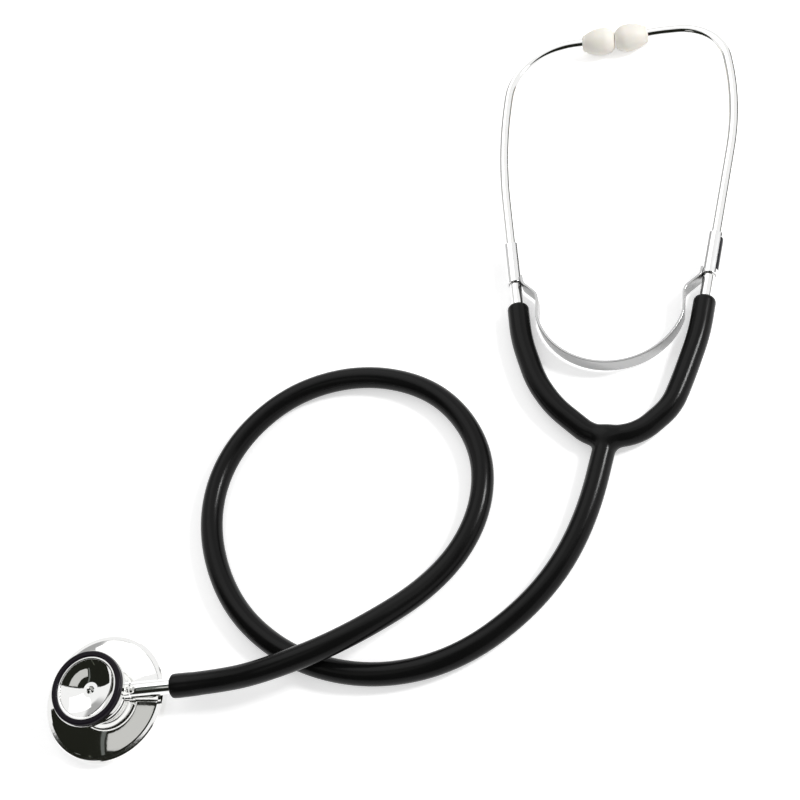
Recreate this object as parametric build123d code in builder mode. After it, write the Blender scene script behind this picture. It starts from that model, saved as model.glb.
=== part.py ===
from build123d import *
import os
from math import asin, cos, pi, radians, sin, sqrt, tan

os.makedirs("parts", exist_ok=True)

# A double head stethoscope lying on a table, in millimetres. The origin is the centre of the
# diaphragm's contact face, +Z is up and +Y runs the length of the headset, towards the ear tips.

# Chestpiece head: diaphragm side, from the table up
rim_d = 47.0
rim_h = 4.6
rim_wall = 1.6
rim_edge = 0.4
lip_t = 0.6
lip_reach = 1.5
thread_gap = 0.05
diaphragm_t = 0.45
diaphragm_edge_gap = 0.2
diaphragm_lip_gap = 0.15
diaphragm_step_run = 0.35
cavity_edge_depth = 0.55
cavity_cone = 1.2

# Chestpiece head: dish, neck and bell
base_step = 0.3
base_edge = 0.4
dish_rise = 2.5
dish_bulge = 0.4
neck_d = 19.0
neck_h = 5.2
neck_foot_r = 1.2
flare_h = 4.0
flange_d = 28.0
flange_under = 0.6
flange_slope = 0.3
flange_h = 1.8
bell_lip_d = 24.6
bell_lip_h = 0.9
bell_lip_edge = 0.25
bell_mouth_d = 21.0
bell_mouth_drop = 0.5
cup_depth = 2.9
cup_hollow = 0.55
cup_boss_d = 5.8
sound_hole_d = 3.0

# Bell ring, an L in section that hooks over the bell's lip
ring_d = 27.2
ring_h = 1.6
ring_mouth_d = 23.0
ring_lip_gap = 0.05
ring_outer_round = 0.7
ring_inner_round = 0.4

# Stem, at half the neck's height, leaving the head towards the hose
stem_angle = 7.58
stem_d = 5.8
stem_bore_d = 2.6
stem_port_d = 2.3
stem_inner_end = 4.0
stem_bore_end = 2.4
stem_edge = 0.2
shoulder_d = 6.4
shoulder_at = 11.2
shoulder_l = 2.8
shoulder_edge = 0.3
stem_gap = 0.04
shoulder_gap = 0.15
bore_end_gap = 0.3
hose_at = 30.0
spigot_l = 15.0
spigot_d = 5.2
barb_first = 1.0
barb_pitch = 4.6
barb_l = 3.8

# Snap ring that holds the stem in the head
snap_at = 8.0
snap_t = 0.7
snap_in_d = 5.0
snap_out_d = 6.5
snap_opening = 2.0
snap_gap = 0.08

# Detent across the neck, on the side away from the loop of hose
detent_at = 4.6
ball_d = 2.0
ball_sink = 0.4
ball_gap = 0.05
dimple_extra = 0.25
detent_bore_gap = 0.15
coil_wire_d = 0.3
coil_gap = 0.1
coil_seat_gap = 0.02
coil_turns = 4
coil_rise = 1.7
screw_l = 1.9
screw_slot_w = 0.45
screw_slot_depth = 0.6

# Hose
hose_d = 8.6
hose_bore_d = 4.7
socket_gap = 0.02

# Headset: a plane through the junction of the Y, tilted up to the ear tips, which rest on the table
junction_x = 184.1
junction_y = 104.0
leg_end_h = 4.5
leg_l = 15.8
leg_angle = -101.5
junction_d = 8.9
leg_root = 1.0
yoke_dip = 0.5
right_arm_bends = [(12.3, 1.7), (23.5, 12.2), (27.8, 23.6)]
left_arm_bends = [(7.2, 1.7), (20.2, 13.2), (27.6, 24.2)]
mouth = (36.5, 58.6)
mouth_round = 1.5
arm_top_run = 16.0
insertion_l = 14.0
insertion_gap = 0.05

# Ear tubes: straight through mouth and sleeve, then a gentle bend, the corner and a bend to the tip
tube_d = 4.8
tube_wall = 0.5
tube_top_r = 60.0
right_tube_angle = 81.0
right_bend_at = 94.7
right_bend_r = 153.0
right_corner = (44.7, 194.9)
right_corner_r = 21.0
right_top = (18.0, 194.8)
left_tube_angle = 81.8
left_bend_at = 78.0
left_bend_r = 260.0
left_corner = (44.1, 190.3)
left_corner_r = 29.5
left_top = (16.5, 192.2)

# Ear tips
tip_d = 11.8
tip_l = 14.0
tip_back_d = 7.4
tip_front_d = 6.8
tip_back_round = 1.2
tip_widest_at = 9.0
tip_belly = 0.65
tip_nose = 0.75
tip_socket = 9.0
tip_socket_gap = 0.05
tip_hole_d = 3.0
tips_gap = 0.4
tips_meet_y = 192.6

# Leaf spring
spring_t = 0.9
spring_w = 7.0
spring_r = 29.4
spring_centre_y = 59.6
spring_knee_y = 61.4
spring_knee_r = 3.5
spring_root_below = 1.5
spring_root_l = 8.0
sleeve_at = 10.0
sleeve_l = 18.8
sleeve_gap = 0.05
seam_l = 14.8
seam_w = 3.0
seam_round = 0.6
right_seam_up = 22.5
left_seam_up = -10.0

# Route of the hose from the chestpiece to the Y: the points between its two straight ends
hose_start_run = 18.0
hose_end_run = 20.0
run_share = 0.45
hose_middle = [
    (66.0, 10.6, 15.9),
    (94.5, 23.2, 15.9),
    (124.1, 46.9, 4.3),
    (138.6, 72.8, 4.3),
    (137.4, 101.3, 4.3),
    (118.0, 125.9, 4.3),
    (86.1, 134.6, 4.3),
    (54.3, 125.4, 4.3),
    (32.5, 99.9, 4.3),
    (29.0, 68.7, 4.3),
    (43.7, 36.5, 4.3),
    (70.4, 16.7, 4.3),
    (102.2, 10.5, 4.3),
    (133.6, 18.2, 4.3),
    (160.9, 40.7, 4.3),
]

# Radii and heights that follow from the sizes above
rim_r = rim_d / 2
rim_in_r = rim_r - rim_wall
base_r = rim_in_r - thread_gap
lip_in_r = rim_in_r - lip_reach
diaphragm_r = rim_in_r - diaphragm_edge_gap
step_out_r = lip_in_r - diaphragm_lip_gap
face_r = step_out_r - diaphragm_step_run
seat_h = lip_t + diaphragm_t
cavity_edge_h = seat_h + cavity_edge_depth
base_h = rim_h + base_step
neck_r = neck_d / 2
neck_foot_h = base_h + dish_rise
neck_top_h = neck_foot_h + neck_h
stem_h = neck_foot_h + neck_h / 2
flange_r = flange_d / 2
flange_under_h = neck_top_h + flare_h
ring_seat_h = flange_under_h + flange_h
bell_lip_r = bell_lip_d / 2
bell_lip_top_h = ring_seat_h + bell_lip_h
bell_mouth_r = bell_mouth_d / 2
bell_mouth_h = bell_lip_top_h - bell_mouth_drop
cup_floor_h = bell_mouth_h - cup_depth
cup_boss_r = cup_boss_d / 2
ring_r = ring_d / 2
ring_top_h = ring_seat_h + ring_h
stem_r = stem_d / 2
bore_r = stem_r + stem_gap
ball_r = ball_d / 2
ball_off = stem_r - ball_sink + ball_r
detent_bore_r = ball_r + detent_bore_gap
hose_r = hose_d / 2
tube_r = tube_d / 2
tip_r = tip_d / 2


# Frames: the stem's axis, and the headset's tilted plane
stem_dir = Vector(cos(radians(stem_angle)), sin(radians(stem_angle)), 0)
detent_dir = Vector(-stem_dir.Y, stem_dir.X, 0)
stem_root = Vector(0, 0, stem_h)
stem_side = Plane(origin=stem_root, x_dir=stem_dir, z_dir=-detent_dir)
stem_axis = Axis(stem_root, stem_dir)

leg_dx = cos(radians(leg_angle))
leg_dy = sin(radians(leg_angle))
head_tilt = asin((tip_r - leg_end_h) / (tips_meet_y - leg_l * leg_dy))
junction_h = leg_end_h - leg_l * leg_dy * sin(head_tilt)
junction = Vector(junction_x, junction_y, junction_h)
head_plane = Plane(
    origin=junction,
    x_dir=(1, 0, 0),
    z_dir=(0, -sin(head_tilt), cos(head_tilt)),
)
leg_end = head_plane.from_local_coords((leg_l * leg_dx, leg_l * leg_dy, 0))
leg_dir = (leg_end - junction).normalized()


def across_stem(at):
    """Plane square to the stem, the given way along it from the middle of the head."""
    return Plane(origin=stem_root + stem_dir * at, x_dir=detent_dir, z_dir=stem_dir)


def tube_way(side):
    """Direction of an ear tube's straight lower run, in the headset's plane, as if on the right."""
    angle = radians(right_tube_angle if side > 0 else left_tube_angle)
    return cos(angle), sin(angle)


def tube_point(side, along, inward=0.0):
    """Point on an ear tube's straight lower run, in the headset's plane, measured from the mouth."""
    way_x, way_y = tube_way(side)
    x = mouth[0] + along * way_x - inward * way_y
    y = mouth[1] + along * way_y + inward * way_x
    return (side * x, y)


def across_tube(side, along):
    """Plane square to an ear tube's lower run, facing the ear tips."""
    start = head_plane.from_local_coords((*tube_point(side, along), 0))
    ahead = head_plane.from_local_coords((*tube_point(side, along + 1), 0))
    return Plane(origin=start, x_dir=head_plane.z_dir, z_dir=ahead - start)


def tip_plane(side, top):
    """Plane of an ear tip: its origin at the tip's front, its x towards the tube's last bend."""
    front = head_plane.from_local_coords((side * tips_gap / 2, tips_meet_y, 0))
    bend = head_plane.from_local_coords((side * top[0], top[1], 0))
    return Plane(origin=front, x_dir=bend - front, z_dir=head_plane.z_dir)


def bend_radii(points):
    """Radius at each inner point of a route, as large as its two runs allow."""
    radii = []
    for before, here, after in zip(points, points[1:], points[2:]):
        run_in = here - before
        run_out = after - here
        half_turn = radians(run_in.get_angle(run_out)) / 2
        radii.append(run_share * min(run_in.length, run_out.length) / tan(half_turn))
    return radii


# Chest body
with BuildPart() as chest_body:
    with BuildSketch(Plane.XZ):
        with BuildLine():
            dish_out = (base_r - base_edge, base_h)
            dish_in = (neck_r + neck_foot_r, neck_foot_h)
            flare_end = (flange_r - flange_under, flange_under_h)
            Polyline(
                (0, cup_floor_h),
                (0, cavity_edge_h + cavity_cone),
                (face_r, cavity_edge_h),
                (face_r, seat_h),
                (base_r, seat_h),
                (base_r, base_h - base_edge / 2),
                dish_out,
            )
            ThreePointArc(
                dish_out,
                ((dish_out[0] + dish_in[0]) / 2, (dish_out[1] + dish_in[1]) / 2 + dish_bulge),
                dish_in,
            )
            CenterArc((dish_in[0], neck_foot_h + neck_foot_r), neck_foot_r, 180, 90)
            Line((neck_r, neck_foot_h + neck_foot_r), (neck_r, neck_top_h))
            TangentArc((neck_r, neck_top_h), flare_end, tangent=(0, 1))
            Polyline(
                flare_end,
                (flange_r, flange_under_h + flange_slope),
                (flange_r, ring_seat_h),
                (bell_lip_r, ring_seat_h),
                (bell_lip_r, bell_lip_top_h - bell_lip_edge),
                (bell_lip_r - bell_lip_edge, bell_lip_top_h),
                (bell_mouth_r + bell_mouth_drop, bell_lip_top_h),
            )
            CenterArc(
                (bell_mouth_r + bell_mouth_drop, bell_mouth_h), bell_mouth_drop, 90, 90
            )
            ThreePointArc(
                (bell_mouth_r, bell_mouth_h),
                (
                    (bell_mouth_r + cup_boss_r) / 2,
                    (bell_mouth_h + cup_floor_h) / 2 - cup_hollow,
                ),
                (cup_boss_r, cup_floor_h),
            )
            Line((cup_boss_r, cup_floor_h), (0, cup_floor_h))
        make_face()
    revolve(axis=Axis.Z)
    with BuildSketch(Plane.XY.offset(cup_floor_h)):
        Circle(sound_hole_d / 2)
    extrude(amount=-cup_floor_h, mode=Mode.SUBTRACT)
    with BuildSketch(across_stem(-stem_inner_end - bore_end_gap)):
        Circle(bore_r)
    extrude(amount=stem_inner_end + bore_end_gap + rim_r, mode=Mode.SUBTRACT)
    with BuildSketch(across_stem(shoulder_at - shoulder_gap)):
        Circle(shoulder_d / 2 + shoulder_gap)
    extrude(amount=rim_r, mode=Mode.SUBTRACT)
    with BuildSketch(across_stem(snap_at - snap_gap)):
        Circle(snap_out_d / 2 + snap_gap)
    extrude(amount=snap_t + 2 * snap_gap, mode=Mode.SUBTRACT)
    with BuildSketch(Plane(origin=stem_root + stem_dir * detent_at, z_dir=detent_dir)):
        Circle(detent_bore_r)
    extrude(amount=neck_r, mode=Mode.SUBTRACT)

chest_body.part.label = "chest_body"
export_step(chest_body.part, "parts/chest_body.step")


# Bell ring
with BuildPart() as bell_ring:
    with BuildSketch(Plane.XZ) as ring_section:
        with BuildLine():
            ring_hook_r = bell_lip_r + ring_lip_gap
            ring_hook_h = bell_lip_top_h + ring_lip_gap
            Polyline(
                (ring_r, ring_seat_h),
                (ring_r, ring_top_h),
                (ring_mouth_d / 2, ring_top_h),
                (ring_mouth_d / 2, ring_hook_h),
                (ring_hook_r, ring_hook_h),
                (ring_hook_r, ring_seat_h),
                close=True,
            )
        make_face()
        top_corners = ring_section.vertices().group_by(Axis.Y)[-1].sort_by(Axis.X)
        fillet(top_corners[-1], ring_outer_round)
        mouth_corner = ring_section.vertices().group_by(Axis.Y)[-1].sort_by(Axis.X)[0]
        fillet(mouth_corner, ring_inner_round)
    revolve(axis=Axis.Z)

bell_ring.part.label = "bell_ring"
export_step(bell_ring.part, "parts/bell_ring.step")


# Diaphragm, with its face level with the rim's underside and its edge held above the lip
with BuildPart() as diaphragm:
    with BuildSketch(Plane.XZ):
        with BuildLine():
            Polyline(
                (0, 0),
                (face_r, 0),
                (step_out_r, lip_t),
                (diaphragm_r, lip_t),
                (diaphragm_r, seat_h),
                (face_r, seat_h),
                (face_r - diaphragm_step_run, diaphragm_t),
                (0, diaphragm_t),
                close=True,
            )
        make_face()
    revolve(axis=Axis.Z)

diaphragm.part.label = "diaphragm"
export_step(diaphragm.part, "parts/diaphragm.step")


# Diaphragm rim
with BuildPart() as diaphragm_rim:
    with BuildSketch(Plane.XZ):
        with BuildLine():
            Polyline(
                (lip_in_r, 0),
                (rim_r - rim_edge, 0),
                (rim_r, rim_edge),
                (rim_r, rim_h - rim_edge),
                (rim_r - rim_edge, rim_h),
                (rim_in_r, rim_h),
                (rim_in_r, lip_t),
                (lip_in_r, lip_t),
                close=True,
            )
        make_face()
    revolve(axis=Axis.Z)

diaphragm_rim.part.label = "diaphragm_rim"
export_step(diaphragm_rim.part, "parts/diaphragm_rim.step")


# Stem, turned about its own axis, with grooves for the snap ring and the detent ball
with BuildPart() as stem:
    with BuildSketch(stem_side):
        with BuildLine():
            shoulder_end = shoulder_at + shoulder_l
            Polyline(
                (-stem_inner_end, 0),
                (-stem_inner_end, stem_r - stem_edge),
                (-stem_inner_end + stem_edge, stem_r),
                (shoulder_at, stem_r),
                (shoulder_at, shoulder_d / 2 - shoulder_edge / 2),
                (shoulder_at + shoulder_edge, shoulder_d / 2),
                (shoulder_end - shoulder_edge, shoulder_d / 2),
                (shoulder_end, stem_r),
                (hose_at, stem_r),
                (hose_at, spigot_d / 2),
                (hose_at + spigot_l, spigot_d / 2),
                (hose_at + spigot_l, 0),
                close=True,
            )
        make_face()
        barb_count = int((spigot_l - barb_first - barb_l) / barb_pitch) + 1
        for barb in range(barb_count):
            crest = hose_at + barb_first + barb * barb_pitch
            with BuildLine():
                Polyline(
                    (crest, 0),
                    (crest, stem_r),
                    (crest + barb_l, spigot_d / 2),
                    (crest + barb_l, 0),
                    close=True,
                )
            make_face()
        with Locations((snap_at + snap_t / 2, stem_r)):
            Rectangle(snap_t + 2 * snap_gap, stem_d - snap_in_d + 2 * snap_gap, mode=Mode.SUBTRACT)
        with Locations((detent_at, ball_off)):
            Circle(ball_r + ball_gap, mode=Mode.SUBTRACT)
    revolve(axis=stem_axis)
    with BuildSketch(across_stem(-stem_bore_end)):
        Circle(stem_bore_d / 2)
    extrude(amount=stem_bore_end + hose_at + spigot_l, mode=Mode.SUBTRACT)
    with BuildSketch(Plane.XY.offset(stem_h)):
        Circle(stem_port_d / 2)
    extrude(amount=-stem_d, mode=Mode.SUBTRACT)
    dimple_off = detent_dir * (ball_off - dimple_extra)
    for way in (1, -1):
        with Locations(stem_root + stem_dir * detent_at + dimple_off * way):
            Sphere(ball_r + ball_gap, mode=Mode.SUBTRACT)

stem.part.label = "stem"
export_step(stem.part, "parts/stem.step")


# Snap ring, open on the side away from the detent
with BuildPart() as stem_snap_ring:
    with BuildSketch(across_stem(snap_at)):
        Circle(snap_out_d / 2)
        Circle(snap_in_d / 2, mode=Mode.SUBTRACT)
        with Locations((-snap_out_d / 2, 0)):
            Rectangle(snap_out_d / 2, snap_opening, mode=Mode.SUBTRACT)
    extrude(amount=snap_t)

stem_snap_ring.part.label = "stem_snap_ring"
export_step(stem_snap_ring.part, "parts/stem_snap_ring.step")


# Detent ball, coil and grub screw, one behind the other in the cross bore of the neck
detent_root = stem_root + stem_dir * detent_at
coil_wire_r = coil_wire_d / 2
coil_r = detent_bore_r - coil_gap - coil_wire_r
coil_from = ball_off + sqrt((ball_r + coil_wire_r + coil_seat_gap) ** 2 - coil_r**2)
screw_from = coil_from + coil_rise + coil_wire_r + coil_seat_gap

with BuildPart() as detent_ball:
    with Locations(detent_root + detent_dir * ball_off):
        Sphere(ball_r)

detent_ball.part.label = "detent_ball"
export_step(detent_ball.part, "parts/detent_ball.step")

with BuildPart() as detent_spring:
    with BuildLine() as coil:
        Helix(
            pitch=coil_rise / coil_turns,
            height=coil_rise,
            radius=coil_r,
            center=detent_root + detent_dir * coil_from,
            direction=detent_dir,
        )
    with BuildSketch(Plane(origin=coil.line @ 0, z_dir=coil.line % 0)):
        Circle(coil_wire_r)
    sweep(path=coil.line)

detent_spring.part.label = "detent_spring"
export_step(detent_spring.part, "parts/detent_spring.step")

with BuildPart() as detent_screw:
    with BuildSketch(Plane(origin=detent_root + detent_dir * screw_from, z_dir=detent_dir)):
        Circle(detent_bore_r - thread_gap)
    extrude(amount=screw_l)
    slot_from = screw_from + screw_l - screw_slot_depth
    with BuildSketch(Plane(origin=detent_root + detent_dir * slot_from, z_dir=detent_dir)):
        Rectangle(2 * detent_bore_r, screw_slot_w)
    extrude(amount=screw_slot_depth, mode=Mode.SUBTRACT)

detent_screw.part.label = "detent_screw"
export_step(detent_screw.part, "parts/detent_screw.step")


# Hose, from the stem over the crossing, round the loop and on to the leg of the Y
hose_route = [
    stem_root + stem_dir * hose_at,
    stem_root + stem_dir * (hose_at + hose_start_run),
    *[Vector(*point) for point in hose_middle],
    leg_end + leg_dir * hose_end_run,
    leg_end,
]
hose_radii = bend_radii(hose_route)

with BuildPart() as main_tube:
    with BuildLine() as hose_path:
        FilletPolyline(*hose_route, radius=hose_radii)
    with BuildSketch(across_stem(hose_at)):
        Circle(hose_r)
        Circle(hose_bore_d / 2, mode=Mode.SUBTRACT)
    sweep(path=hose_path.line)
    hose_volume = main_tube.part.volume
    with BuildSketch(across_stem(hose_at)):
        Circle(stem_r + socket_gap)
    extrude(amount=spigot_l + socket_gap, mode=Mode.SUBTRACT)

main_tube.part.label = "main_tube"
export_step(main_tube.part, "parts/main_tube.step")

hose_section = pi * (hose_r**2 - (hose_bore_d / 2) ** 2)
hose_length = hose_path.wires()[0].length
print("hose length", round(hose_length, 1))
print("hose radii", [round(radius, 1) for radius in hose_radii])
print("hose volume over section times length", hose_volume / hose_section / hose_length)


# Y of tubing, with its leg towards the hose and a mouth for each ear tube
with BuildPart() as y_yoke:
    left_arm = [(-x, y) for x, y in reversed(left_arm_bends)]
    arm_points = [
        (-mouth[0], mouth[1]),
        tube_point(-1, -arm_top_run),
        *left_arm,
        (0, -yoke_dip),
        *right_arm_bends,
        tube_point(1, -arm_top_run),
        mouth,
    ]
    arm_radii = bend_radii([Vector(x, y, 0) for x, y in arm_points])
    with BuildLine(head_plane) as arms:
        FilletPolyline(*arm_points, radius=arm_radii)
    arm_end = Plane(origin=arms.line @ 0, z_dir=arms.line % 0)
    leg_start = Plane(origin=junction + leg_dir * leg_root, z_dir=leg_dir)
    with BuildSketch(arm_end):
        Circle(hose_r)
    sweep(path=arms.line)
    mouth_edges = y_yoke.edges().filter_by(GeomType.CIRCLE).group_by(Axis.Y)[-1]
    fillet(mouth_edges, mouth_round)
    with BuildSketch(leg_start):
        Circle(hose_r)
    extrude(amount=leg_l - leg_root)
    with Locations(junction):
        Sphere(junction_d / 2, rotation=(0, 90, 0))
    with BuildSketch(arm_end):
        Circle(hose_bore_d / 2)
    sweep(path=arms.line, mode=Mode.SUBTRACT)
    with BuildSketch(leg_start):
        Circle(hose_bore_d / 2)
    extrude(amount=leg_l - leg_root, mode=Mode.SUBTRACT)
    for side in (-1, 1):
        with BuildSketch(across_tube(side, -insertion_l)):
            Circle(tube_r + insertion_gap)
        extrude(amount=2 * insertion_l, mode=Mode.SUBTRACT)

y_yoke.part.label = "y_yoke"
export_step(y_yoke.part, "parts/y_yoke.step")


def build_ear_tube(side, bend_at, bend_r, corner, corner_r, top):
    """Ear tube from its end inside the Y to its end inside the ear tip."""
    tip = tip_plane(side, top)
    tip_end = head_plane.to_local_coords(tip.from_local_coords((tip_l - tip_socket, 0, 0)))
    with BuildPart() as tube:
        with BuildLine(head_plane) as path:
            FilletPolyline(
                tube_point(side, -insertion_l),
                tube_point(side, bend_at),
                (side * corner[0], corner[1]),
                (side * top[0], top[1]),
                (tip_end.X, tip_end.Y),
                radius=[bend_r, corner_r, tube_top_r],
            )
        with BuildSketch(across_tube(side, -insertion_l)):
            Circle(tube_r)
            Circle(tube_r - tube_wall, mode=Mode.SUBTRACT)
        sweep(path=path.line)
    return tube


# Ear tubes
left_ear_tube = build_ear_tube(
    -1, left_bend_at, left_bend_r, left_corner, left_corner_r, left_top
)
left_ear_tube.part.label = "left_ear_tube"
export_step(left_ear_tube.part, "parts/left_ear_tube.step")

right_ear_tube = build_ear_tube(
    1, right_bend_at, right_bend_r, right_corner, right_corner_r, right_top
)
right_ear_tube.part.label = "right_ear_tube"
export_step(right_ear_tube.part, "parts/right_ear_tube.step")


def build_ear_tip(side, top):
    """Ear tip, turned about the end of its tube: a cone that widens, then a rounded nose."""
    place = tip_plane(side, top)
    with BuildPart() as tip:
        with BuildSketch(place):
            with BuildLine():
                back_r = tip_back_d / 2
                widest = tip_l - tip_widest_at
                back = (tip_l, back_r - tip_back_round)
                shoulder = (tip_l - tip_back_round, back_r)
                nose = (0, tip_front_d / 2)
                Line((0, tip_hole_d / 2), nose)
                ThreePointArc(
                    nose,
                    (widest / 2, (tip_front_d / 2 + tip_r) / 2 + tip_nose),
                    (widest, tip_r),
                )
                ThreePointArc(
                    (widest, tip_r),
                    ((widest + shoulder[0]) / 2, (tip_r + back_r) / 2 + tip_belly),
                    shoulder,
                )
                CenterArc((shoulder[0], back[1]), tip_back_round, 0, 90)
                Polyline(
                    back,
                    (tip_l, tube_r + tip_socket_gap),
                    (tip_l - tip_socket, tube_r + tip_socket_gap),
                    (tip_l - tip_socket, tip_hole_d / 2),
                    (0, tip_hole_d / 2),
                )
            make_face()
        revolve(axis=Axis(place.origin, place.x_dir))
    return tip


# Ear tips
left_ear_tip = build_ear_tip(-1, left_top)
left_ear_tip.part.label = "left_ear_tip"
export_step(left_ear_tip.part, "parts/left_ear_tip.step")

right_ear_tip = build_ear_tip(1, right_top)
right_ear_tip.part.label = "right_ear_tip"
export_step(right_ear_tip.part, "parts/right_ear_tip.step")


# Leaf spring: a strip on edge, bent to a U, whose ends turn up into a rolled sleeve on each tube
with BuildPart() as leaf_spring:
    strip_off = tube_r + sleeve_gap + spring_t / 2
    with BuildSketch(head_plane):
        with BuildLine():
            CenterArc((0, spring_centre_y), spring_r, 180, 180)
            for side in (-1, 1):
                FilletPolyline(
                    (side * spring_r, spring_centre_y),
                    (side * spring_r, spring_knee_y),
                    tube_point(side, sleeve_at - spring_root_below, strip_off),
                    tube_point(side, sleeve_at + spring_root_l, strip_off),
                    radius=spring_knee_r,
                )
        trace(line_width=spring_t)
    extrude(amount=spring_w / 2, both=True)
    sleeve_r = tube_r + sleeve_gap + spring_t
    for side, seam_up in ((-1, left_seam_up), (1, right_seam_up)):
        with BuildSketch(across_tube(side, sleeve_at)):
            Circle(sleeve_r)
        extrude(amount=sleeve_l)
        with BuildSketch(across_tube(side, sleeve_at)):
            Circle(tube_r + sleeve_gap)
        extrude(amount=sleeve_l, mode=Mode.SUBTRACT)
        middle = across_tube(side, sleeve_at + sleeve_l / 2)
        way_x, way_y = tube_way(side)
        outward = head_plane.x_dir * side * way_y - head_plane.y_dir * way_x
        facing = outward * cos(radians(seam_up)) + head_plane.z_dir * sin(radians(seam_up))
        with BuildSketch(Plane(origin=middle.origin, x_dir=middle.z_dir, z_dir=facing)):
            RectangleRounded(seam_l, seam_w, seam_round)
        extrude(amount=2 * sleeve_r, mode=Mode.SUBTRACT)

leaf_spring.part.label = "leaf_spring"
export_step(leaf_spring.part, "parts/leaf_spring.step")
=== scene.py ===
from math import asin, cos, hypot, pi, radians, sin, tan

import bmesh
import bpy
import numpy as np
from mathutils import Matrix, Vector


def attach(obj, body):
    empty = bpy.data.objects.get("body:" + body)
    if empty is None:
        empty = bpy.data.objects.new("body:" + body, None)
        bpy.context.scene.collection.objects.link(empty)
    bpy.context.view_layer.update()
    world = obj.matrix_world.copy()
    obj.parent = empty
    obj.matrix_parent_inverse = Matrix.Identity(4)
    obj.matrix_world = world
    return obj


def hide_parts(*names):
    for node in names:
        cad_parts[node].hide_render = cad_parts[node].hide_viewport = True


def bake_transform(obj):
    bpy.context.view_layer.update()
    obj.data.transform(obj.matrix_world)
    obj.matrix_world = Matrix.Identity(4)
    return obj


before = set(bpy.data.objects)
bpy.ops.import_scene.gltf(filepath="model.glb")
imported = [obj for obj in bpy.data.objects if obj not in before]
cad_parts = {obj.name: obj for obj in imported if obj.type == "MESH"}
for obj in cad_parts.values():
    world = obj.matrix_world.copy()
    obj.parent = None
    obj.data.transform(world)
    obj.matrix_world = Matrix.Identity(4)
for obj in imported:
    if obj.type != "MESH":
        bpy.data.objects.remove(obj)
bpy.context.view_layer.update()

MM = 0.001
TUBING = "tubing"
SIDES = {-1: "left", 1: "right"}

# Sizes shared with the CAD source, in millimetres
TIP_R = 5.9
TUBE_R = 2.4
HOSE_R = 4.3
LEG_END_H = 4.5
LEG_L = 15.8
LEG_WAY = (cos(radians(-101.5)), sin(radians(-101.5)))
TIPS_MEET_Y = 192.6
JUNCTION_XY = (184.1, 104.0)
MOUTH = (36.5, 58.6)
TILT = asin((TIP_R - LEG_END_H) / (TIPS_MEET_Y - LEG_L * LEG_WAY[1]))
JUNCTION = Vector((*JUNCTION_XY, LEG_END_H - LEG_L * LEG_WAY[1] * sin(TILT)))
STEM_H = 10.0
STEM_WAY = Vector((cos(radians(7.58)), sin(radians(7.58)), 0))
HOSE_AT = 30.0

TUBE_ANGLE = {-1: 81.8, 1: 81.0}
ARM_BENDS = {
    -1: [(7.2, 1.7), (20.2, 13.2), (27.6, 24.2)],
    1: [(12.3, 1.7), (23.5, 12.2), (27.8, 23.6)],
}
ARM_TOP_RUN = 16.0
YOKE_DIP = 0.5
SPRING_T = 0.9
SPRING_W = 7.0
SPRING_R = 29.4
SPRING_CENTRE_Y = 59.6
SLEEVE_AT = 10.0
SLEEVE_L = 18.8
SLEEVE_GAP = 0.05
SLEEVE_R = TUBE_R + SLEEVE_GAP + SPRING_T
SEAM_UP = {-1: -10.0, 1: 22.5}
SEAM_L = 14.8
SEAM_W = 3.0

# Sizes of the visual pieces alone, in millimetres and degrees
YOKE_CUT_X = 9.0
YOKE_VOXEL = 0.5
LEG_SPARE = 3.0
CROTCH_BLEND = 2.6
MOUTH_ROUND = 2.2
SPRING_ARC = 74.0
SPRING_KNEE = (28.7, 62.0)
SPRING_KNEE_RADII = (4.6, 2.5)
SLEEVE_T = 0.82
SLEEVE_EDGE = 0.14
# Painted shade: depth, thickness and grid of the dark sheet set inside each sleeve window
WINDOW_SHADE_DEPTH = 0.25
WINDOW_SHADE_T = 0.4
WINDOW_SHADE_GRID = 12
LIP_R = 4.45
LIP_ROUND = 1.3
LIP_BACK = 0.6


def head_point(x, y, z=0.0):
    """A point of the headset's tilted plane, in millimetres in the row frame."""
    return JUNCTION + Vector((x, y * cos(TILT) - z * sin(TILT), y * sin(TILT) + z * cos(TILT)))


def tube_point(side, along, inward=0.0):
    """Point on an ear tube's straight lower run, in the headset's plane, from the mouth."""
    angle = radians(TUBE_ANGLE[side])
    x = MOUTH[0] + along * cos(angle) - inward * sin(angle)
    y = MOUTH[1] + along * sin(angle) + inward * cos(angle)
    return (side * x, y)


# Shader helpers
def new_material(name):
    material = bpy.data.materials.new(name)
    material.use_nodes = True
    tree = material.node_tree
    shader = tree.nodes["Principled BSDF"]
    return material, tree, shader


def add(tree, kind, inputs=None, **settings):
    node = tree.nodes.new(kind)
    for key, value in settings.items():
        setattr(node, key, value)
    for key, value in (inputs or {}).items():
        if isinstance(value, bpy.types.NodeSocket):
            tree.links.new(value, node.inputs[key])
        else:
            node.inputs[key].default_value = value
    return node


def object_coords(tree):
    return add(tree, "ShaderNodeTexCoord").outputs["Object"]


def noise_of(tree, scale, detail, rough, distortion=0.0):
    return add(
        tree,
        "ShaderNodeTexNoise",
        {
            "Vector": object_coords(tree),
            "Scale": scale,
            "Detail": detail,
            "Roughness": rough,
            "Distortion": distortion,
        },
    ).outputs["Fac"]


def ranged(tree, value, low, high, from_low=0.0, from_high=1.0):
    return add(
        tree,
        "ShaderNodeMapRange",
        {
            "Value": value,
            "From Min": from_low,
            "From Max": from_high,
            "To Min": low,
            "To Max": high,
        },
    ).outputs["Result"]


def math_of(tree, operation, one, two):
    return add(tree, "ShaderNodeMath", {0: one, 1: two}, operation=operation).outputs["Value"]


def mixed(tree, factor, one, two):
    mix = add(tree, "ShaderNodeMix", data_type="RGBA")
    tree.links.new(factor, mix.inputs["Factor"])
    for socket, value in ((mix.inputs["A"], one), (mix.inputs["B"], two)):
        if isinstance(value, bpy.types.NodeSocket):
            tree.links.new(value, socket)
        else:
            socket.default_value = value
    return mix.outputs["Result"]


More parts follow.
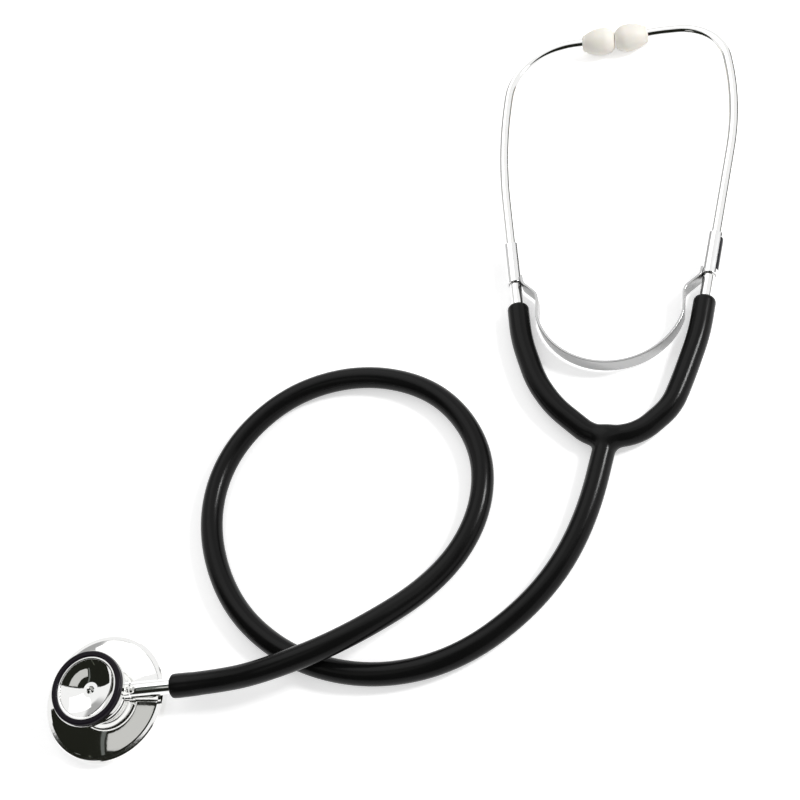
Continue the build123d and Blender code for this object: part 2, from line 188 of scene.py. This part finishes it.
def bumped(tree, shader, height, strength, distance):
    inputs = {"Height": height, "Strength": strength, "Distance": distance}
    bump = add(tree, "ShaderNodeBump", inputs)
    tree.links.new(bump.outputs["Normal"], shader.inputs["Normal"])


def chrome_material(name, colour, rough_low, rough_high):
    material, tree, shader = new_material(name)
    shader.inputs["Metallic"].default_value = 1.0
    smudge = noise_of(tree, 90.0, 4.0, 0.6, distortion=0.6)
    tree.links.new(
        mixed(tree, smudge, (*[c * 0.97 for c in colour], 1), (*colour, 1)), shader.inputs["Base Color"]
    )
    tree.links.new(ranged(tree, smudge, rough_low, rough_high, 0.3, 0.75), shader.inputs["Roughness"])
    fine = noise_of(tree, 900.0, 2.0, 0.5)
    bumped(tree, shader, fine, 0.02, 0.0001)
    return material


def rubber_material(name, colour, rough_low, rough_high, level):
    material, tree, shader = new_material(name)
    cloud = noise_of(tree, 60.0, 3.0, 0.55)
    shade = mixed(tree, cloud, (*[c * 0.8 for c in colour], 1), (*[c * 1.25 for c in colour], 1))
    tree.links.new(shade, shader.inputs["Base Color"])
    tree.links.new(ranged(tree, cloud, rough_low, rough_high, 0.3, 0.7), shader.inputs["Roughness"])
    shader.inputs["Specular IOR Level"].default_value = level
    grain = noise_of(tree, 1400.0, 2.0, 0.6)
    bumped(tree, shader, grain, 0.08, 0.0002)
    return material


CHROME = chrome_material("polished_chrome", (0.9, 0.9, 0.89), 0.03, 0.07)
STEEL = chrome_material("satin_steel", (0.42, 0.42, 0.42), 0.24, 0.34)
STEEL_BRIGHT = chrome_material("bright_steel", (0.85, 0.85, 0.85), 0.1, 0.16)
RUBBER = rubber_material("black_tubing", (0.005, 0.005, 0.005), 0.18, 0.26, 0.12)
# Painted shade: a near-black material for the sheet that darkens each sleeve window
WINDOW_SHADE = rubber_material("sleeve_painted_shade", (0.004, 0.004, 0.007), 0.3, 0.4, 0.1)
RING_RUBBER = rubber_material("black_ring_rubber", (0.007, 0.005, 0.009), 0.32, 0.42, 0.15)


def ivory_material():
    material, tree, shader = new_material("ivory_plastic")
    cloud = noise_of(tree, 120.0, 2.0, 0.5)
    shade = mixed(tree, cloud, (0.78, 0.745, 0.68, 1), (0.83, 0.8, 0.735, 1))
    tree.links.new(shade, shader.inputs["Base Color"])
    shader.inputs["Roughness"].default_value = 0.5
    shader.inputs["Subsurface Weight"].default_value = 0.25
    shader.inputs["Subsurface Radius"].default_value = (0.003, 0.002, 0.0012)
    shader.inputs["Subsurface Scale"].default_value = 0.6
    grain = noise_of(tree, 1600.0, 2.0, 0.5)
    bumped(tree, shader, grain, 0.05, 0.0002)
    return material


IVORY = ivory_material()


def film_material():
    material, tree, shader = new_material("diaphragm_film")
    cloud = noise_of(tree, 80.0, 2.0, 0.5)
    shade = mixed(tree, cloud, (0.74, 0.73, 0.69, 1), (0.8, 0.79, 0.75, 1))
    tree.links.new(shade, shader.inputs["Base Color"])
    tree.links.new(ranged(tree, cloud, 0.32, 0.42), shader.inputs["Roughness"])
    return material


FILM = film_material()

NODE_MATERIALS = {
    "chest_body": CHROME,
    "bell_ring": RING_RUBBER,
    "diaphragm": FILM,
    "diaphragm_rim": CHROME,
    "stem": CHROME,
    "stem_snap_ring": STEEL,
    "detent_ball": STEEL,
    "detent_spring": STEEL,
    "detent_screw": STEEL,
    "main_tube": RUBBER,
    "y_yoke": RUBBER,
    "leaf_spring": STEEL,
    "left_ear_tube": CHROME,
    "right_ear_tube": CHROME,
    "left_ear_tip": IVORY,
    "right_ear_tip": IVORY,
}
for node_name, node_material in NODE_MATERIALS.items():
    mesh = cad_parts[node_name].data
    mesh.materials.clear()
    mesh.materials.append(node_material)


# Hose: the points between its two straight ends, all of them control points of one smooth spline
HOSE_ROUTE = [
    (66.6, 9.8, 14.8),
    (95.1, 22.2, 14.6),
    (124.1, 46.9, 4.3),
    (138.6, 72.8, 4.3),
    (137.4, 101.3, 4.3),
    (118.0, 125.9, 4.3),
    (86.1, 134.6, 4.3),
    (54.3, 125.4, 4.3),
    (32.5, 99.9, 4.3),
    (29.0, 68.7, 4.3),
    (43.7, 36.5, 4.3),
    (70.4, 16.7, 4.3),
    (102.2, 10.5, 4.3),
    (133.6, 18.2, 4.3),
    (160.9, 40.7, 4.3),
]
HOSE_START_RUN = 18.0
HOSE_END_RUN = 20.0
LEG_END = head_point(LEG_L * LEG_WAY[0], LEG_L * LEG_WAY[1])
LEG_DIR = (LEG_END - JUNCTION).normalized()


def hose():
    runs = (HOSE_AT, HOSE_AT + HOSE_START_RUN)
    points = [Vector((0, 0, STEM_H)) + STEM_WAY * along for along in runs]
    points += [Vector(p) for p in HOSE_ROUTE]
    points += [LEG_END + LEG_DIR * HOSE_END_RUN, LEG_END]
    curve = bpy.data.curves.new("hose", "CURVE")
    curve.dimensions = "3D"
    spline = curve.splines.new("NURBS")
    spline.points.add(len(points) - 1)
    for control, point in zip(spline.points, points):
        control.co = (*(point * MM), 1.0)
    spline.order_u = 3
    spline.use_endpoint_u = True
    spline.resolution_u = 24
    curve.bevel_depth = HOSE_R * MM
    curve.bevel_resolution = 14
    curve.use_fill_caps = True
    curve.materials.append(RUBBER)
    piece = bpy.data.objects.new("hose", curve)
    bpy.context.scene.collection.objects.link(piece)
    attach(piece, TUBING)
    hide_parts("main_tube")


hose()


# Mesh helpers
def link_mesh(name, verts, faces, material):
    """A mesh object from points in millimetres."""
    mesh = bpy.data.meshes.new(name)
    mesh.from_pydata([tuple(Vector(v) * MM) for v in verts], [], faces)
    mesh.validate()
    mesh.materials.append(material)
    mesh.shade_smooth()
    piece = bpy.data.objects.new(name, mesh)
    bpy.context.scene.collection.objects.link(piece)
    return piece


def applied(piece):
    """Makes the piece's modifiers real."""
    graph = bpy.context.evaluated_depsgraph_get()
    mesh = bpy.data.meshes.new_from_object(piece.evaluated_get(graph))
    piece.modifiers.clear()
    old = piece.data
    piece.data = mesh
    bpy.data.meshes.remove(old)


def outward_normals(piece):
    work = bmesh.new()
    work.from_mesh(piece.data)
    bmesh.ops.recalc_face_normals(work, faces=work.faces)
    work.to_mesh(piece.data)
    work.free()


def rounded_path(points, radii, step=0.6):
    """Points along straight runs and tangent arcs, in the headset's plane."""
    points = [Vector(p) for p in points]
    path = [points[0]]
    for before, here, after, radius in zip(points, points[1:], points[2:], radii):
        one, two = (before - here).normalized(), (after - here).normalized()
        angle = one.angle(two)
        reach = radius / tan(angle / 2)
        centre = here + (one + two).normalized() * radius / sin(angle / 2)
        start, end = here + one * reach - centre, here + two * reach - centre
        sweep = pi - angle
        sign = 1 if start.x * end.y - start.y * end.x > 0 else -1
        count = max(3, int(sweep * radius / step))
        for k in range(count + 1):
            bit = sign * sweep * k / count
            x = start.x * cos(bit) - start.y * sin(bit)
            y = start.x * sin(bit) + start.y * cos(bit)
            path.append(centre + Vector((x, y)))
    path.append(points[-1])
    even = [path[0]]
    for point in path[1:]:
        gap = point - even[-1]
        bits = max(1, round(gap.length / step))
        last = even[-1]
        even += [last + gap * (k + 1) / bits for k in range(bits)]
    return even


def widest_radii(points, share=0.45):
    """Bend radii that use up the given share of the shorter run at each corner."""
    radii = []
    for before, here, after in zip(points, points[1:], points[2:]):
        one, two = Vector(here) - Vector(before), Vector(after) - Vector(here)
        radii.append(share * min(one.length, two.length) / tan(one.angle(two) / 2))
    return radii


def sweep_ring(path, section, name, material):
    """A closed bar along a path in the headset's plane; the section is (across, up) pairs."""
    verts, faces = [], []
    count = len(section)
    for k, point in enumerate(path):
        ahead = path[min(k + 1, len(path) - 1)] - path[max(k - 1, 0)]
        across = Vector((-ahead.y, ahead.x)).normalized()
        verts += [head_point(point.x + across.x * a, point.y + across.y * a, up) for a, up in section]
    for k in range(len(path) - 1):
        for j in range(count):
            one, two = k * count + j, k * count + (j + 1) % count
            faces.append((one, two, two + count, one + count))
    faces.append(tuple(range(count))[::-1])
    faces.append(tuple((len(path) - 1) * count + j for j in range(count)))
    return link_mesh(name, verts, faces, material)


def circle(radius, count=40):
    return [(radius * cos(2 * pi * k / count), radius * sin(2 * pi * k / count)) for k in range(count)]


# The Y of tubing: one moulding, with a soft fillet where its leg meets its arms
def yoke():
    arm = [(-MOUTH[0], MOUTH[1]), tube_point(-1, -ARM_TOP_RUN)]
    arm += [(-x, y) for x, y in reversed(ARM_BENDS[-1])]
    arm += [(0, -YOKE_DIP), *ARM_BENDS[1], tube_point(1, -ARM_TOP_RUN), MOUTH]
    path = rounded_path(arm, widest_radii(arm))
    leg_end = Vector(LEG_WAY) * (LEG_L + LEG_SPARE)
    raw = sweep_ring(path, circle(HOSE_R), "yoke_raw", RUBBER)
    leg = sweep_ring([Vector((0, 0)), leg_end], circle(HOSE_R), "leg_raw", RUBBER)
    both = bmesh.new()
    both.from_mesh(raw.data)
    both.from_mesh(leg.data)
    both.to_mesh(raw.data)
    both.free()
    bpy.data.objects.remove(leg)
    remesh = raw.modifiers.new("remesh", "REMESH")
    remesh.mode = "VOXEL"
    remesh.voxel_size = YOKE_VOXEL * MM
    applied(raw)

    line = np.array([tuple(p) for p in path])
    runs = np.diff(line, axis=0)
    long = np.linalg.norm(runs, axis=1)
    at = np.concatenate([[0], np.cumsum(long)])
    half = at[-1] / 2
    tilt = np.array([[1, 0, 0], [0, cos(TILT), sin(TILT)], [0, -sin(TILT), cos(TILT)]])

    def depth(points):
        """How far each point lies outside the moulding's skin."""
        best = np.full(len(points), 1e9)
        where = np.zeros(len(points))
        for k in range(len(runs)):
            flat = points[:, :2] - line[k]
            t = flat @ runs[k] / long[k] ** 2
            if k == 0:
                t = np.minimum(t, 1)
            elif k == len(runs) - 1:
                t = np.maximum(t, 0)
            else:
                t = np.clip(t, 0, 1)
            off = np.column_stack([flat - t[:, None] * runs[k], points[:, 2]])
            far = np.linalg.norm(off, axis=1)
            near = far < best
            best[near] = far[near]
            where[near] = (at[k] + t * long[k])[near]
        side = np.maximum(best - (HOSE_R - MOUTH_ROUND), 0)
        end = np.maximum(np.abs(where - half) - (half - MOUTH_ROUND), 0)
        arms = np.where(end > 0, np.hypot(side, end) - MOUTH_ROUND, best - HOSE_R)
        way = np.array([*LEG_WAY, 0])
        along = np.maximum(points @ way, 0)
        stalk = np.linalg.norm(points - along[:, None] * way, axis=1) - HOSE_R
        h = np.clip(0.5 + 0.5 * (arms - stalk) / CROTCH_BLEND, 0, 1)
        return arms + (stalk - arms) * h - CROTCH_BLEND * h * (1 - h)

    def slope(points, eps=0.02):
        """The way out of the skin at each point."""
        parts = []
        for axis in range(3):
            step = np.zeros(3)
            step[axis] = eps
            parts.append((depth(points + step) - depth(points - step)) / (2 * eps))
        out = np.column_stack(parts)
        return out / np.maximum(np.linalg.norm(out, axis=1), 1e-6)[:, None]

    origin = np.array(JUNCTION)
    co = np.array([v.co for v in raw.data.vertices]) / MM
    local = (co - origin) @ tilt.T
    for _ in range(3):
        local -= slope(local) * depth(local)[:, None]
    for v, p in zip(raw.data.vertices, (local @ tilt + origin) * MM):
        v.co = p

    right = Vector((1, 0, 0))
    cuts = {
        "yoke_centre": [(-YOKE_CUT_X * right, -right), (YOKE_CUT_X * right, right)],
        "yoke_arm_left": [(-YOKE_CUT_X * right, right)],
        "yoke_arm_right": [(YOKE_CUT_X * right, -right)],
    }
    for name, planes in cuts.items():
        work = bmesh.new()
        work.from_mesh(raw.data)
        planes = [(JUNCTION + place, way) for place, way in planes]
        if name == "yoke_centre":
            planes.append((LEG_END, LEG_DIR))
        for place, way in planes:
            found = bmesh.ops.bisect_plane(
                work,
                geom=work.verts[:] + work.edges[:] + work.faces[:],
                plane_co=place * MM,
                plane_no=way,
                clear_outer=True,
            )
            edges = [g for g in found["geom_cut"] if isinstance(g, bmesh.types.BMEdge)]
            bmesh.ops.holes_fill(work, edges=edges)
        mesh = bpy.data.meshes.new(name)
        work.to_mesh(mesh)
        work.free()
        mesh.materials.append(RUBBER)
        mesh.shade_smooth()
        piece = bpy.data.objects.new(name, mesh)
        bpy.context.scene.collection.objects.link(piece)
        spots = np.array([v.co for v in mesh.vertices]) / MM
        normals = slope((spots - origin) @ tilt.T) @ tilt
        mesh.normals_split_custom_set_from_vertices([tuple(n) for n in normals])
        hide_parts("y_yoke")
        if name == "yoke_centre":
            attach(piece, TUBING)
        else:
            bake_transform(piece)
    bpy.data.objects.remove(raw)


yoke()


# Leaf spring: a steel strip on edge, whose ends are rolled into a sleeve round each ear tube
def bar_section(width, thick, edge=0.18):
    """A flat bar's outline with rounded edges and a few points along its broad sides."""
    half_w, half_t = width / 2, thick / 2
    corners = [(half_t, half_w), (-half_t, half_w), (-half_t, -half_w), (half_t, -half_w)]
    section = []
    for k, (x, y) in enumerate(corners):
        centre = (x - edge * (1 if x > 0 else -1), y - edge * (1 if y > 0 else -1))
        for bit in range(4):
            angle = radians(k * 90 + bit * 30)
            section.append((centre[0] + edge * cos(angle), centre[1] + edge * sin(angle)))
    rows = []
    for (x0, y0), (x1, y1) in zip(section, section[1:] + section[:1]):
        rows.append((x0, y0))
        if hypot(x1 - x0, y1 - y0) > 1:
            rows += [(x0 + (x1 - x0) * k / 6, y0 + (y1 - y0) * k / 6) for k in range(1, 6)]
    return rows


def spring_half(side):
    strip_off = TUBE_R + SLEEVE_GAP + SPRING_T / 2
    arc = [
        Vector((side * SPRING_R * sin(radians(a)), SPRING_CENTRE_Y - SPRING_R * cos(radians(a))))
        for a in np.linspace(0, SPRING_ARC, 100)
    ]
    knee = [
        tuple(arc[-1]),
        (side * SPRING_KNEE[0], SPRING_KNEE[1]),
        tube_point(side, SLEEVE_AT - 1.3, strip_off),
        tube_point(side, SLEEVE_AT + 2.0, strip_off),
    ]
    path = arc[:-1] + rounded_path(knee, SPRING_KNEE_RADII, step=0.4)
    name = "spring_strip_" + SIDES[side]
    strip = sweep_ring(path, bar_section(SPRING_W, SPRING_T), name, STEEL)
    outward_normals(strip)
    strip.data.set_sharp_from_angle(angle=radians(50))
    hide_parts("leaf_spring")
    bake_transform(strip)

    # Sleeve: a rolled sheet with its seam on the outer side, open along a window
    around, rows = 96, 94
    window_half = SEAM_W / 2 / SLEEVE_R
    base = head_point(*tube_point(side, SLEEVE_AT))
    along = (head_point(*tube_point(side, SLEEVE_AT + 1)) - base).normalized()
    up = head_point(0, 0, 1) - head_point(0, 0, 0)
    outward = along.cross(up) * (1 if side > 0 else -1)
    verts, faces = [], []
    angles = [radians(SEAM_UP[side]) + 2 * pi * k / around for k in range(around)]
    for r in range(rows + 1):
        for angle in angles:
            spot = outward * cos(angle) + up * sin(angle)
            verts.append(base + along * (SLEEVE_L * r / rows) + spot * SLEEVE_R)
    for r in range(rows):
        middle = abs(SLEEVE_L * (r + 0.5) / rows - SLEEVE_L / 2)
        for k in range(around):
            turn = min(k + 0.5, around - k - 0.5) * 2 * pi / around
            if middle < SEAM_L / 2 and turn < window_half:
                continue
            one, two = r * around + k, r * around + (k + 1) % around
            faces.append((one, two, two + around, one + around))
    sleeve = link_mesh("spring_sleeve_" + SIDES[side], verts, faces, STEEL_BRIGHT)
    work = bmesh.new()
    work.from_mesh(sleeve.data)
    bmesh.ops.recalc_face_normals(work, faces=work.faces)
    if (work.faces[0].calc_center_median() / MM - base).dot(work.faces[0].normal) < 0:
        bmesh.ops.reverse_faces(work, faces=work.faces)
    work.to_mesh(sleeve.data)
    work.free()
    thick = sleeve.modifiers.new("thick", "SOLIDIFY")
    thick.thickness = SLEEVE_T * MM
    thick.offset = -1
    edge = sleeve.modifiers.new("edge", "BEVEL")
    edge.width = SLEEVE_EDGE * MM
    edge.segments = 2
    edge.limit_method = "ANGLE"
    applied(sleeve)
    sleeve.data.set_sharp_from_angle(angle=radians(50))
    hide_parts("leaf_spring")
    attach(sleeve, SIDES[side] + "_binaural")

    # Painted shade: a dark sheet just inside the sleeve's window, standing in for the shade and dark
    # reflection that show through it
    verts, faces = [], []
    spread = window_half * 1.15
    row = WINDOW_SHADE_GRID + 1
    for r in range(row):
        at = SLEEVE_L / 2 + (SEAM_L + 0.8) * (r / WINDOW_SHADE_GRID - 0.5)
        for k in range(row):
            angle = radians(SEAM_UP[side]) + spread * (2 * k / WINDOW_SHADE_GRID - 1)
            spot = outward * cos(angle) + up * sin(angle)
            verts.append(base + along * at + spot * (SLEEVE_R - WINDOW_SHADE_DEPTH))
    for r in range(WINDOW_SHADE_GRID):
        for k in range(WINDOW_SHADE_GRID):
            one = r * row + k
            faces.append((one, one + 1, one + row + 1, one + row))
    shade_sheet = link_mesh("sleeve_painted_shade_" + SIDES[side], verts, faces, WINDOW_SHADE)
    if (shade_sheet.data.polygons[0].center / MM - base).dot(shade_sheet.data.polygons[0].normal) < 0:
        shade_sheet.data.flip_normals()
    thick = shade_sheet.modifiers.new("thick", "SOLIDIFY")
    thick.thickness = WINDOW_SHADE_T * MM
    thick.offset = -1
    applied(shade_sheet)
    shade_sheet.data.set_sharp_from_angle(angle=radians(50))
    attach(shade_sheet, SIDES[side] + "_binaural")


for spring_side in SIDES:
    spring_half(spring_side)


# The hose's end over the stem's spigot: its moulded, rounded lip
def hose_end():
    lip = [(2.95, 0.6), (3.0, 0.15), (3.4, 0.0)]
    lip += [
        (LIP_R - LIP_ROUND + LIP_ROUND * sin(radians(a)), LIP_ROUND - LIP_ROUND * cos(radians(a)))
        for a in range(0, 91, 15)
    ]
    lip += [(4.47, 3.0), (4.42, 6.0), (4.34, 9.0), (4.25, 11.0), (2.95, 11.0)]
    verts, faces = [], []
    around = 64
    start = Vector((0, 0, STEM_H)) + STEM_WAY * (HOSE_AT - LIP_BACK)
    across = Vector((-STEM_WAY.y, STEM_WAY.x, 0))
    for radius, at in lip:
        for k in range(around):
            angle = 2 * pi * k / around
            spot = across * cos(angle) + Vector((0, 0, 1)) * sin(angle)
            verts.append(start + STEM_WAY * at + spot * radius)
    count = len(lip)
    for r in range(count):
        for k in range(around):
            one, two = r * around + k, r * around + (k + 1) % around
            three, four = (r + 1) % count * around + (k + 1) % around, (r + 1) % count * around + k
            faces.append((one, two, three, four))
    piece = link_mesh("hose_end_lip", verts, faces, RUBBER)
    outward_normals(piece)
    piece.data.set_sharp_from_angle(angle=radians(60))
    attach(piece, TUBING)


hose_end()


# Floor, world, lamps and camera
WHITE = (1, 1, 1, 1)
AMBIENT = (0.55, 0.55, 0.55, 1)
WALL_GREY = (0.42, 0.42, 0.42, 1)
GAP_DARK = (0.02, 0.02, 0.02, 1)
FLOOR_HALF = 4.0
# What the floor gives off so that camera, glossy and transmission rays see it white
FLOOR_LIFT = 0.45
# The camera fitted to the photograph, its place in millimetres
CAMERA_AT = (225.80, -90.53, 420.13)
CAMERA_RIGHT = (0.9665, 0.0939, -0.2387)
CAMERA_UP = (0.0241, 0.8932, 0.4490)
CAMERA_LENS = 54.81


def build_floor():
    mesh = bpy.data.meshes.new("floor")
    half = FLOOR_HALF
    mesh.from_pydata(
        [(-half, -half, 0), (half, -half, 0), (half, half, 0), (-half, half, 0)], [], [(0, 1, 2, 3)]
    )
    floor = bpy.data.objects.new("floor", mesh)
    bpy.context.scene.collection.objects.link(floor)
    material, tree, shader = new_material("floor")
    shader.inputs["Base Color"].default_value = (0.9, 0.9, 0.9, 1)
    shader.inputs["Roughness"].default_value = 0.8
    shader.inputs["Specular IOR Level"].default_value = 0.0
    rays = add(tree, "ShaderNodeLightPath").outputs
    seen = math_of(tree, "MAXIMUM", rays["Is Camera Ray"], rays["Is Glossy Ray"])
    seen = math_of(tree, "MAXIMUM", seen, rays["Is Transmission Ray"])
    lift = math_of(tree, "MULTIPLY", seen, FLOOR_LIFT)
    shader.inputs["Emission Color"].default_value = WHITE
    tree.links.new(lift, shader.inputs["Emission Strength"])
    mesh.materials.append(material)


build_floor()


def build_world():
    world = bpy.data.worlds.new("studio")
    bpy.context.scene.world = world
    world.use_nodes = True
    tree = world.node_tree
    background = tree.nodes["Background"]
    way = add(tree, "ShaderNodeTexCoord").outputs["Generated"]
    # In polished surfaces: white, with a grey band on the left and a dark one low on the right
    parts = add(tree, "ShaderNodeSeparateXYZ", {0: way}).outputs
    x, y, z = parts["X"], parts["Y"], parts["Z"]

    def step(value, low, high):
        return add(
            tree,
            "ShaderNodeMapRange",
            {"Value": value, "From Min": low, "From Max": high, "To Min": 0.0, "To Max": 1.0},
            interpolation_type="SMOOTHSTEP",
        ).outputs["Result"]

    def times(one, two):
        return math_of(tree, "MULTIPLY", one, two)

    def inverse(value):
        return math_of(tree, "SUBTRACT", 1.0, value)

    left, low = inverse(step(x, -0.62, -0.5)), inverse(step(z, 0.5, 0.62))
    wall = times(times(left, low), step(y, 0.3, 0.55))
    right, lowest = step(x, 0.5, 0.6), inverse(step(z, 0.26, 0.32))
    gap = times(times(right, lowest), step(y, 0.3, 0.4))
    shade = mixed(tree, gap, mixed(tree, wall, WHITE, WALL_GREY), GAP_DARK)
    rays = add(tree, "ShaderNodeLightPath").outputs
    through = math_of(tree, "MAXIMUM", rays["Is Camera Ray"], rays["Is Transmission Ray"])
    plain = mixed(tree, rays["Is Glossy Ray"], AMBIENT, shade)
    tree.links.new(mixed(tree, through, plain, WHITE), background.inputs["Color"])
    background.inputs["Strength"].default_value = 1.0


build_world()


# A dark roof with a lit panel and two lit slots. Only polished surfaces show them, and their places
# were fitted to the photograph's own camera.
def rectangle(low, high):
    """A rectangle's outline from two opposite corners."""
    return [low, (high[0], low[1]), high, (low[0], high[1])]


def curved_panel(centre, radii, start, end, count=24):
    """A ring's sector, between two angles in degrees."""
    angles = [radians(start + (end - start) * k / count) for k in range(count + 1)]
    inner = [(centre[0] + radii[0] * cos(a), centre[1] + radii[0] * sin(a)) for a in angles]
    outer = [(centre[0] + radii[1] * cos(a), centre[1] + radii[1] * sin(a)) for a in angles]
    return inner + outer[::-1]


def roof_card(name, outline, height, shade):
    mesh = bpy.data.meshes.new(name)
    mesh.from_pydata([(x, y, height) for x, y in outline], [], [tuple(range(len(outline)))])
    material, _, shader = new_material(name)
    shader.inputs["Base Color"].default_value = (0, 0, 0, 1)
    shader.inputs["Specular IOR Level"].default_value = 0.0
    shader.inputs["Emission Color"].default_value = (*shade, 1)
    shader.inputs["Emission Strength"].default_value = 1.0
    mesh.materials.append(material)
    card = bpy.data.objects.new(name, mesh)
    bpy.context.scene.collection.objects.link(card)
    card.visible_camera = card.visible_diffuse = card.visible_shadow = False
    card.visible_transmission = card.visible_volume_scatter = False


roof_card("roof_dark", rectangle((-3.0, -3.0), (1.2, 0.11)), 0.68, (0.014, 0.015, 0.011))
roof_card("roof_panel", curved_panel((-0.1, 0.03), (0.095, 0.2), -88, 0), 0.3, (0.62, 0.62, 0.6))
roof_card("roof_slot_near", rectangle((-0.285, -0.42), (-0.245, 0.02)), 0.66, (0.14, 0.15, 0.14))
roof_card("roof_slot_far", rectangle((-0.56, -1.0), (-0.52, -0.6)), 0.66, (0.12, 0.13, 0.1))


def soft_box(name, place, aim, size, power):
    lamp = bpy.data.lights.new(name, "AREA")
    lamp.shape = "RECTANGLE"
    lamp.size, lamp.size_y = size
    lamp.energy = power
    piece = bpy.data.objects.new(name, lamp)
    piece.location = place
    piece.rotation_euler = (Vector(aim) - Vector(place)).to_track_quat("-Z", "Y").to_euler()
    bpy.context.scene.collection.objects.link(piece)


MIDDLE = (0.11, 0.12, 0.0)
soft_box("key", (0.79, 0.33, 0.61), (0.15, 0.09, 0.0), (0.16, 0.2), 5.0)
soft_box("fill", (-0.3, 0.8, 0.9), MIDDLE, (0.9, 0.9), 2.0)


def build_camera():
    data = bpy.data.cameras.new("camera")
    data.lens = CAMERA_LENS
    data.sensor_width = 36.0
    data.clip_start, data.clip_end = 0.01, 20.0
    camera = bpy.data.objects.new("camera", data)
    right = Vector(CAMERA_RIGHT)
    up = Vector(CAMERA_UP)
    back = right.cross(up).normalized()
    up = back.cross(right).normalized()
    turn = Matrix((right.normalized(), up, back)).transposed()
    camera.matrix_world = Matrix.Translation(Vector(CAMERA_AT) * MM) @ turn.to_4x4()
    bpy.context.scene.collection.objects.link(camera)
    bpy.context.scene.camera = camera


build_camera()
bpy.context.scene.view_settings.view_transform = "Standard"
